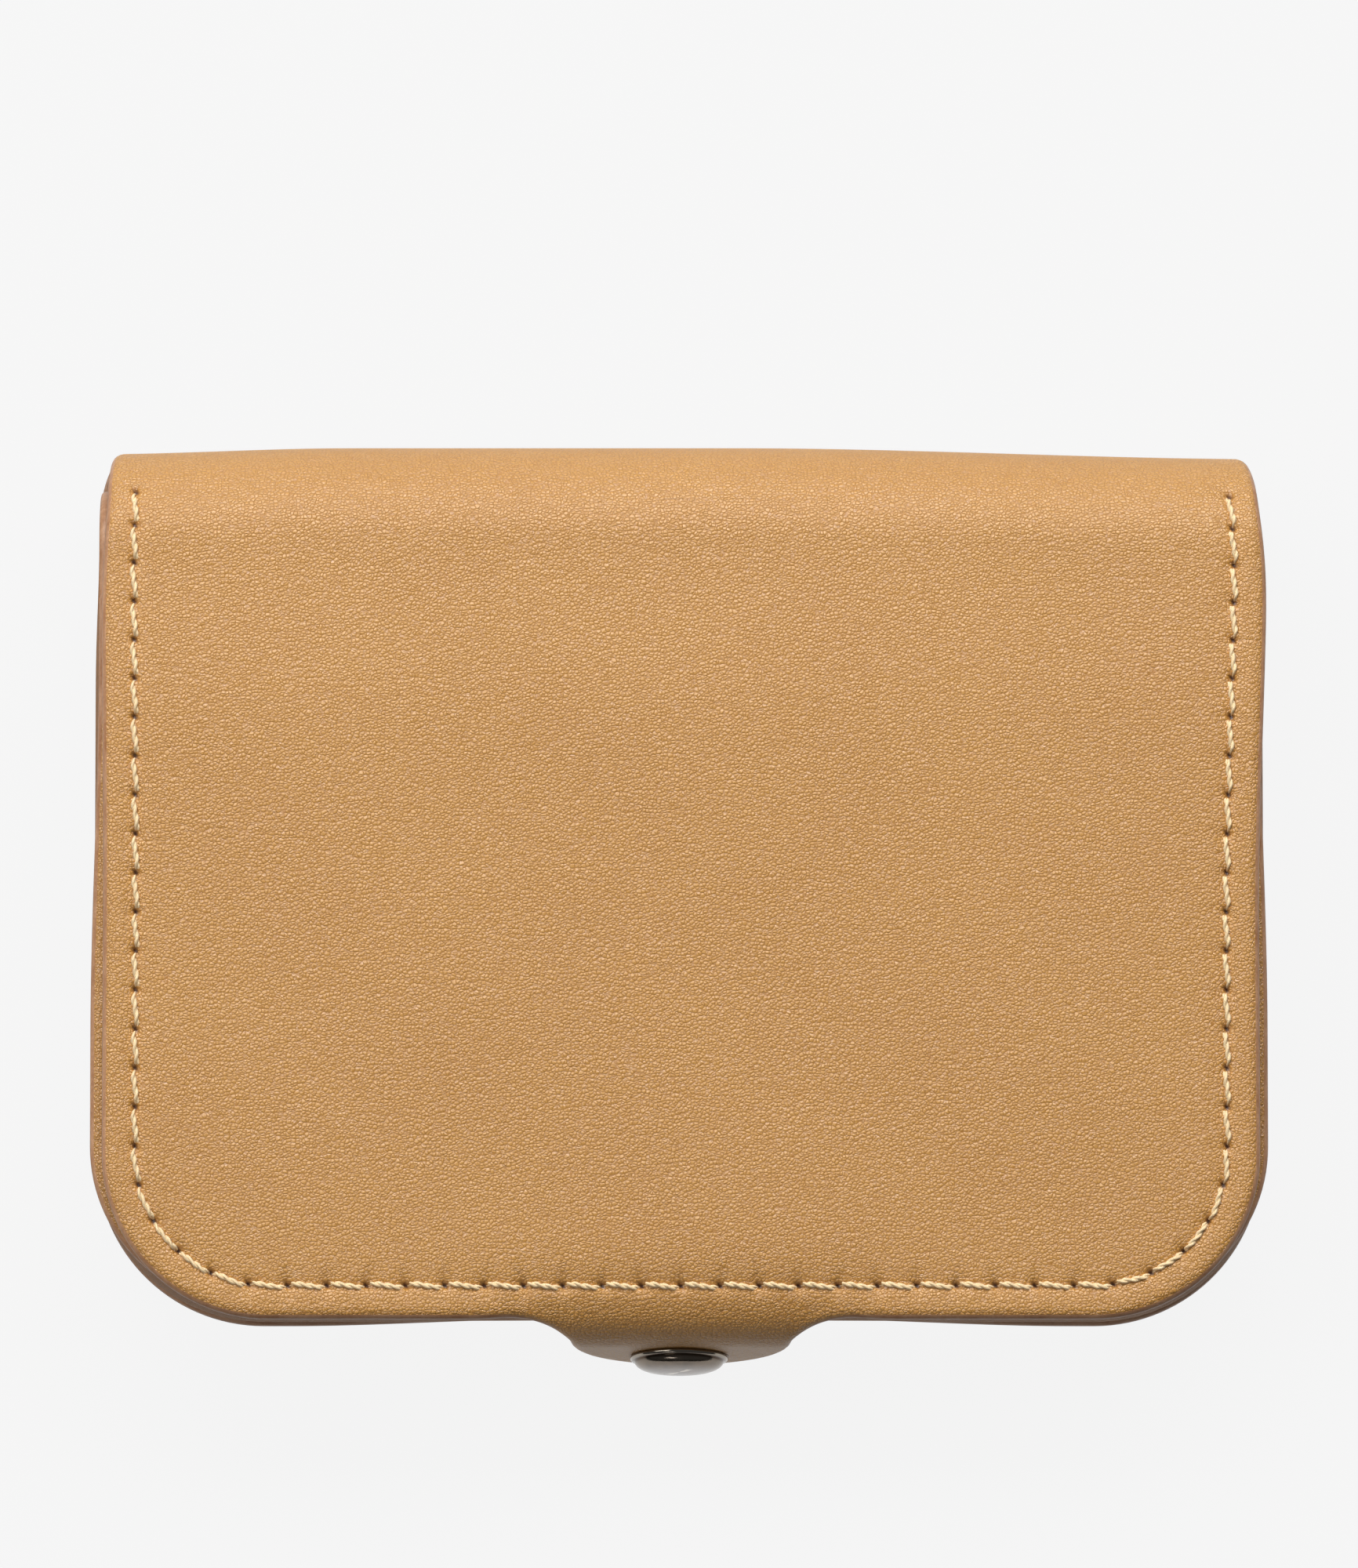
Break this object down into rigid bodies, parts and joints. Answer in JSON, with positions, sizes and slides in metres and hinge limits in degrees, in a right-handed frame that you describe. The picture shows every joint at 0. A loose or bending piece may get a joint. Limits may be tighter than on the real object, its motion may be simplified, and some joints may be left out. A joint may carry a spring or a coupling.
{
  "type": "compact flap wallet",
  "caption": "Compact leather wallet with a rolled flap, a snap tab that wraps under its bottom edge, a boxed gusset, card slots and a zipped coin pocket.",
  "frame": {"origin": "centre of the closed wallet in X and Y, on the plane that its back rests on", "axes": "+X along the wallet's width, +Y from the snap tab to the rolled fold, +Z out of the flap's front face"},
  "size_m": [0.12, 0.0948, 0.02],
  "materials": {
    "tan_leather": "smooth tan leather with a fine grain and painted edges",
    "lining_leather": "thin matte tan lining leather",
    "pocket_cloth": "brown twill pocketing",
    "zip_tape": "brown woven zip tape",
    "nickel": "polished nickel plate",
    "thread": "twisted cream sewing thread",
    "stiffener_board": "bonded fibre stiffener, sealed between leather and lining"
  },
  "bodies": {
    "wallet_body": {"back_outer": "tan_leather", "back_stiffener": "stiffener_board", "back_lining": "lining_leather", "back_thread": "thread", "gusset": "tan_leather", "front_outer": "tan_leather", "front_stiffener": "stiffener_board", "front_lining": "lining_leather", "front_thread": "thread", "card_slot_back": "lining_leather", "card_slot_middle": "lining_leather", "card_slot_front": "lining_leather", "coin_pocket_back": "pocket_cloth", "coin_pocket_front": "pocket_cloth", "coin_pocket_floor": "pocket_cloth", "zip_tape_back": "zip_tape", "zip_tape_front": "zip_tape", "zip_teeth_back": "nickel", "zip_teeth_front": "nickel", "zip_end_stops": "nickel", "snap_stud": "nickel", "snap_stud_rivet": "nickel"},
    "roll_1": {"roll_outer_1": "tan_leather", "roll_lining_1": "lining_leather"},
    "roll_2": {"roll_outer_2": "tan_leather", "roll_lining_2": "lining_leather"},
    "roll_3": {"roll_outer_3": "tan_leather", "roll_lining_3": "lining_leather"},
    "roll_4": {"roll_outer_4": "tan_leather", "roll_lining_4": "lining_leather"},
    "flap": {"flap_outer": "tan_leather", "flap_stiffener": "stiffener_board", "flap_lining": "lining_leather", "flap_thread": "thread"},
    "tab_bend": {"tab_bend_outer": "tan_leather", "tab_bend_lining": "lining_leather"},
    "tab": {"tab_outer": "tan_leather", "tab_lining": "lining_leather", "snap_cap": "nickel", "snap_socket": "nickel"},
    "slider": {"zip_slider": "nickel"},
    "pull": {"zip_pull": "nickel"}
  },
  "joints": [
    {"name": "flap_open", "type": "hinge", "parent": "wallet_body", "child": "roll_1", "pos_m": [0, 0.03738, 0], "axis": [-1, 0, 0], "range_deg": [0, 22.5]},
    {"name": "roll_flatten_2", "type": "hinge", "parent": "roll_1", "child": "roll_2", "pos_m": [0, 0.04445, 0.00293], "axis": [-1, 0, 0], "range_deg": [0, 45]},
    {"name": "roll_flatten_3", "type": "hinge", "parent": "roll_2", "child": "roll_3", "pos_m": [0, 0.04738, 0.01], "axis": [-1, 0, 0], "range_deg": [0, 45]},
    {"name": "roll_flatten_4", "type": "hinge", "parent": "roll_3", "child": "roll_4", "pos_m": [0, 0.04445, 0.01707], "axis": [-1, 0, 0], "range_deg": [0, 45]},
    {"name": "flap_flatten", "type": "hinge", "parent": "roll_4", "child": "flap", "pos_m": [0, 0.03738, 0.02], "axis": [-1, 0, 0], "range_deg": [0, 22.5]},
    {"name": "tab_peel", "type": "hinge", "parent": "flap", "child": "tab_bend", "pos_m": [0, -0.04262, 0.01933], "axis": [-1, 0, 0], "range_deg": [0, 42]},
    {"name": "tab_flatten", "type": "hinge", "parent": "tab_bend", "child": "tab", "pos_m": [0, -0.0451, 0.01552], "axis": [-1, 0, 0], "range_deg": [0, 42]},
    {"name": "zip_slide", "type": "slide", "parent": "wallet_body", "child": "slider", "axis": [1, 0, 0], "range_m": [0, 0.097]},
    {"name": "zip_pull_swing", "type": "hinge", "parent": "slider", "child": "pull", "pos_m": [-0.051, 0.03348, 0.0115], "axis": [0, 0, 1], "range_deg": [0, 100]}
  ],
  "couplings": [
    {"joint": "roll_flatten_2", "follows": "flap_open", "ratio": 2},
    {"joint": "roll_flatten_3", "follows": "flap_open", "ratio": 2},
    {"joint": "roll_flatten_4", "follows": "flap_open", "ratio": 2},
    {"joint": "flap_flatten", "follows": "flap_open", "ratio": 1},
    {"joint": "tab_flatten", "follows": "tab_peel", "ratio": 1}
  ]
}
